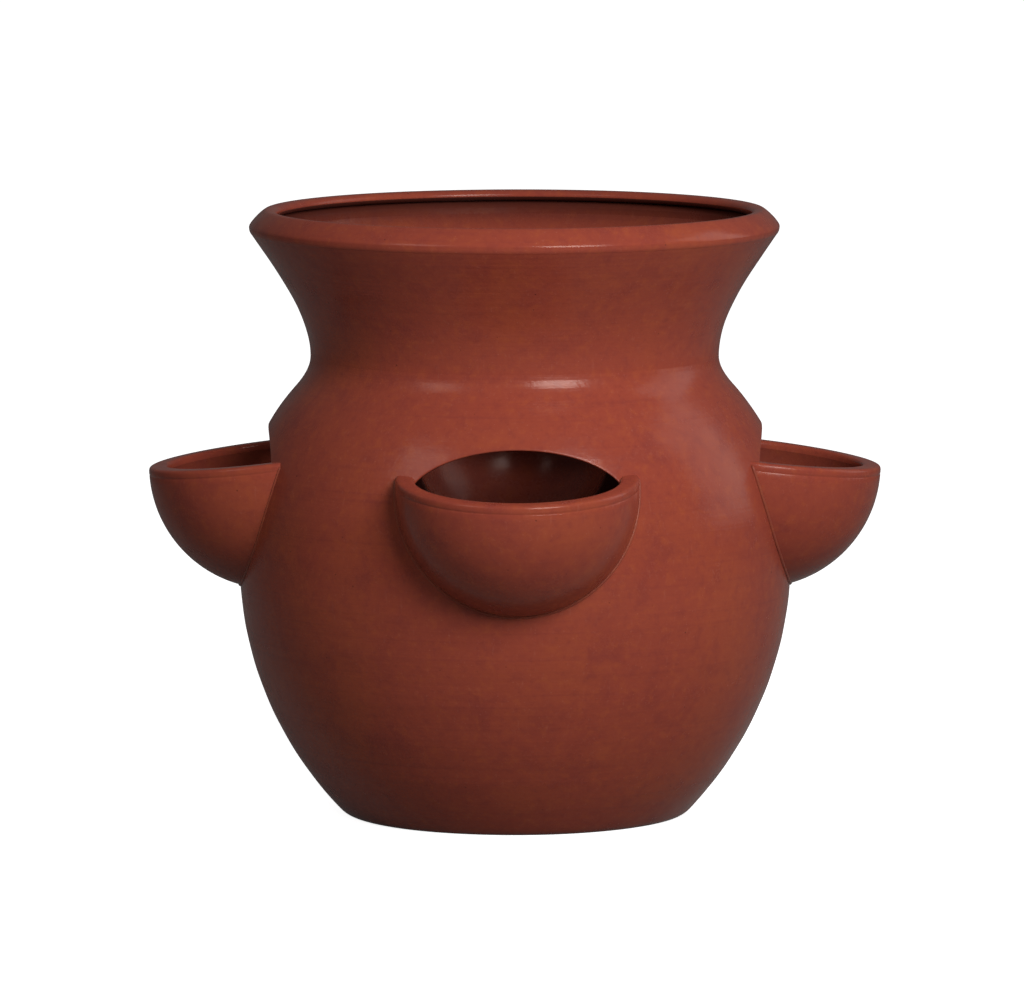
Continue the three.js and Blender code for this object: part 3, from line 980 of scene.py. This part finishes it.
def soft_lamp(name, lamp, power):
    """Area lamp of those bearings and sizes, aimed at the jar's middle."""
    azimuth, elevation, width, height = lamp
    side, up = math.radians(azimuth), math.radians(elevation)
    away = Vector((math.sin(side) * math.cos(up), -math.cos(side) * math.cos(up), math.sin(up)))
    middle = Vector((0, 0, CREST_Z / 2))
    data = bpy.data.lights.new(name, "AREA")
    data.shape = "RECTANGLE"
    data.size, data.size_y = width, height
    data.energy = power
    made = bpy.data.objects.new(name, data)
    aim = away.to_track_quat("Z", "Y").to_matrix().to_4x4()
    made.matrix_world = Matrix.Translation(middle + away * LAMP_DISTANCE) @ aim
    bpy.context.scene.collection.objects.link(made)


def floor_plane(studio):
    """Round pale floor that fills the picture."""
    mesh = bpy.data.meshes.new("floor")
    turn = np.linspace(0, math.tau, FLOOR_STEPS, endpoint=False)
    rim = FLOOR_RADIUS * np.stack([np.cos(turn), np.sin(turn), np.zeros_like(turn)], axis=-1)
    mesh.from_pydata(rim.tolist(), [], [list(range(len(rim)))])
    mesh.materials.append(floor_material(studio))
    floor = bpy.data.objects.new("floor", mesh)
    bpy.context.scene.collection.objects.link(floor)


def camera(studio):
    """Long lens a little above the jar, looking slightly down."""
    data = bpy.data.cameras.new("camera")
    data.sensor_width = SENSOR_WIDTH
    data.lens = studio.lens
    data.clip_end = SIGHT
    made = bpy.data.objects.new("camera", data)
    turn = Matrix.Rotation(studio.camera_turn, 4, "Z")
    pitch = Matrix.Rotation(math.tau / 4 - studio.camera_drop, 4, "X")
    roll = Matrix.Rotation(studio.camera_roll, 4, "Z")
    made.matrix_world = Matrix.Translation(studio.camera_place) @ turn @ pitch @ roll
    bpy.context.scene.collection.objects.link(made)
    bpy.context.scene.camera = made


# ---- Operators ----


def finish_of(slot):
    """Finish of a record slot, as (material, slot)."""
    material = bpy.data.materials.get(FINISHES[slot])
    if material is None:
        raise RuntimeError("mix the clay first")
    return material, slot


class CLAYJAR_OT_stage(Operator):
    """Set up the pale floor, the soft lamps, the room and the camera"""

    bl_idname = "clay_jar.stage"
    bl_label = "Stage"

    def execute(self, context):
        studio = context.scene.clay_jar_studio
        context.scene.view_settings.view_transform = "Standard"
        floor_plane(studio)
        room_light(studio)
        soft_lamp("key_lamp", KEY_LAMP, studio.key_power)
        soft_lamp("side_lamp", SIDE_LAMP, studio.side_power)
        soft_lamp("fill_lamp", FILL_LAMP, studio.fill_power)
        camera(studio)
        return {"FINISHED"}


class CLAYJAR_OT_clay(Operator):
    """Mix the three clay finishes: thrown jar, pressed bowls and dried slip"""

    bl_idname = "clay_jar.clay"
    bl_label = "Clay"

    def execute(self, context):
        clay = context.scene.clay_jar_look
        clay_material(FINISHES["jar_clay"], clay, clay.clay, wheel=1.0, polish=clay.polish)
        clay_material(FINISHES["pocket_clay"], clay, clay.clay, clay.pressed_lines, clay.polish)
        clay_material(FINISHES["slip"], clay, clay.slip, clay.slip_lines, clay.slip_polish)
        return {"FINISHED"}


class CLAYJAR_OT_slab(Operator):
    """Build the floor slab with its drain hole"""

    bl_idname = "clay_jar.slab"
    bl_label = "Floor Slab"

    def execute(self, context):
        jar = context.scene.clay_jar_sizes
        profile, inside = floor_profile(jar)
        turned_piece(jar, "floor_slab", profile, inside, finish_of("jar_clay"))
        return {"FINISHED"}


class CLAYJAR_OT_walls(Operator):
    """Build the plain thrown walls: foot, belly and neck collar"""

    bl_idname = "clay_jar.walls"
    bl_label = "Thrown Walls"

    def execute(self, context):
        jar = context.scene.clay_jar_sizes
        clay = finish_of("jar_clay")
        wall_ring(jar, "foot_wall", SLAB_TOP, FOOT_TOP, clay)
        wall_ring(jar, "belly_wall", FOOT_TOP, BELLY_TOP, clay)
        # the collar's bore carries the painted shade from under the rim
        wall_ring(jar, "neck_collar", WAIST_Z, NECK_Z, clay, partial(under_rim, jar))
        return {"FINISHED"}


class CLAYJAR_OT_shoulder(Operator):
    """Build the shoulder wall with its four mouths"""

    bl_idname = "clay_jar.shoulder"
    bl_label = "Shoulder Wall"

    def execute(self, context):
        scene = context.scene
        shoulder_piece(scene.clay_jar_sizes, scene.clay_jar_pockets, finish_of("jar_clay"))
        return {"FINISHED"}


class CLAYJAR_OT_rim(Operator):
    """Build the rolled rim"""

    bl_idname = "clay_jar.rim"
    bl_label = "Rolled Rim"

    def execute(self, context):
        jar = context.scene.clay_jar_sizes
        profile, inside = rim_profile(jar)
        turned_piece(jar, "rim_coil", profile, inside, finish_of("jar_clay"))
        return {"FINISHED"}


class CLAYJAR_OT_pockets(Operator):
    """Build the four pressed bowls"""

    bl_idname = "clay_jar.pockets"
    bl_label = "Pockets"

    def execute(self, context):
        scene = context.scene
        clay = finish_of("pocket_clay")
        for number in range(len(PLACES)):
            pocket_piece(scene.clay_jar_sizes, scene.clay_jar_pockets, number, clay)
        return {"FINISHED"}


class CLAYJAR_OT_lutings(Operator):
    """Build the beads of slip along the bowls' seams"""

    bl_idname = "clay_jar.lutings"
    bl_label = "Slip Beads"

    def execute(self, context):
        scene = context.scene
        slip = finish_of("slip")
        for number in range(len(PLACES)):
            bead_piece(scene.clay_jar_sizes, scene.clay_jar_pockets, number, slip)
        return {"FINISHED"}


STEPS = (
    CLAYJAR_OT_stage,
    CLAYJAR_OT_clay,
    CLAYJAR_OT_slab,
    CLAYJAR_OT_walls,
    CLAYJAR_OT_shoulder,
    CLAYJAR_OT_rim,
    CLAYJAR_OT_pockets,
    CLAYJAR_OT_lutings,
)
GROUPS = {
    "clay_jar_sizes": JarSizes,
    "clay_jar_pockets": PocketSizes,
    "clay_jar_look": ClayLook,
    "clay_jar_studio": Studio,
}


class CLAYJAR_PT_panel(Panel):
    """Settings and steps of the clay jar"""

    bl_idname = "CLAYJAR_PT_panel"
    bl_label = "Strawberry Jar"
    bl_space_type = "VIEW_3D"
    bl_region_type = "UI"
    bl_category = "Clay Jar"

    def draw(self, context):
        layout = self.layout
        for step in STEPS:
            layout.operator(step.bl_idname)
        for group_name, group in GROUPS.items():
            box = layout.box()
            box.label(text=group.__doc__)
            for setting in group.__annotations__:
                box.prop(getattr(context.scene, group_name), setting)


def register():
    """Adds the settings, the steps and the panel."""
    for group in (*GROUPS.values(), *STEPS, CLAYJAR_PT_panel):
        bpy.utils.register_class(group)
    for group_name, group in GROUPS.items():
        setattr(bpy.types.Scene, group_name, PointerProperty(type=group))


def unregister():
    """Takes them away again, last first."""
    for group_name in GROUPS:
        delattr(bpy.types.Scene, group_name)
    for group in (CLAYJAR_PT_panel, *reversed(STEPS), *GROUPS.values()):
        bpy.utils.unregister_class(group)


def main():
    register()
    for step in STEPS:
        group, name = step.bl_idname.split(".")
        getattr(getattr(bpy.ops, group), name)()
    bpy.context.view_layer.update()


if __name__ == "__main__":
    main()
